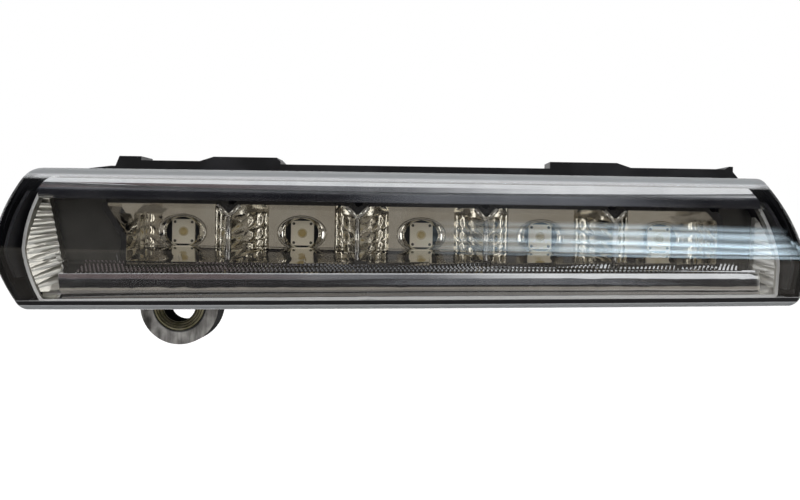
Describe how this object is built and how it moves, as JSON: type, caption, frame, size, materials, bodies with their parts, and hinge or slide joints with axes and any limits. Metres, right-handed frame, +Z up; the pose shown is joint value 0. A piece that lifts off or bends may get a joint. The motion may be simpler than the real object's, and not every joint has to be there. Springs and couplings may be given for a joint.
{
  "type": "daytime running light",
  "caption": "Slim car front lamp: a clear lens over chromed bars, fluted end fans and a row of reflector cells, on a black housing with a finned heat sink and a mounting ear.",
  "frame": {"origin": "centre of the ear sleeve's bore on the ear's rear seat face", "axes": "+X along the lamp to its right end seen from the front, +Y back into the car along the ear sleeve's bore, +Z up"},
  "size_m": [0.228, 0.0692, 0.0596],
  "materials": {
    "clear_lens": "polished clear moulding",
    "sealant": "matte bead",
    "housing_black": "satin moulded black",
    "bezel_chrome": "bright metallised",
    "mask_black": "glossy black",
    "reflector_metal": "metallised",
    "board": "black solder mask",
    "thermal_pad": "soft grey pad",
    "cast_metal": "as cast, scratched",
    "gasket_rubber": "matte black",
    "sleeve_steel": "turned, yellow passivated",
    "screw_steel": "zinc plated",
    "socket_black": "moulded black",
    "pin_brass": "tinned",
    "component_black": "moulded black",
    "can_metal": "drawn can",
    "led_package": "white package",
    "led_phosphor": "clear dome over yellow phosphor"
  },
  "bodies": {
    "root": {"outer_lens": "clear_lens", "sealing_bead": "sealant", "rear_housing": "housing_black", "bezel": "bezel_chrome", "inner_mask": "mask_black", "reflector": "reflector_metal", "led_board": "board", "thermal_pad": "thermal_pad", "heat_sink": "cast_metal", "heat_sink_gasket": "gasket_rubber", "ear_sleeve": "sleeve_steel", "heat_sink_screws": "screw_steel", "board_screws": "screw_steel", "reflector_screws": "screw_steel", "connector_socket": "socket_black", "connector_pins": "pin_brass", "connector_seal": "gasket_rubber", "vent_cap": "socket_black", "suppressor_diode": "component_black", "driver_chip": "component_black", "inductor": "component_black", "capacitors": "can_metal", "resistors": "component_black", "led_body_1": "led_package", "led_body_2": "led_package", "led_body_3": "led_package", "led_body_4": "led_package", "led_body_5": "led_package", "led_emitter_1": "led_phosphor", "led_emitter_2": "led_phosphor", "led_emitter_3": "led_phosphor", "led_emitter_4": "led_phosphor", "led_emitter_5": "led_phosphor"}
  },
  "joints": []
}
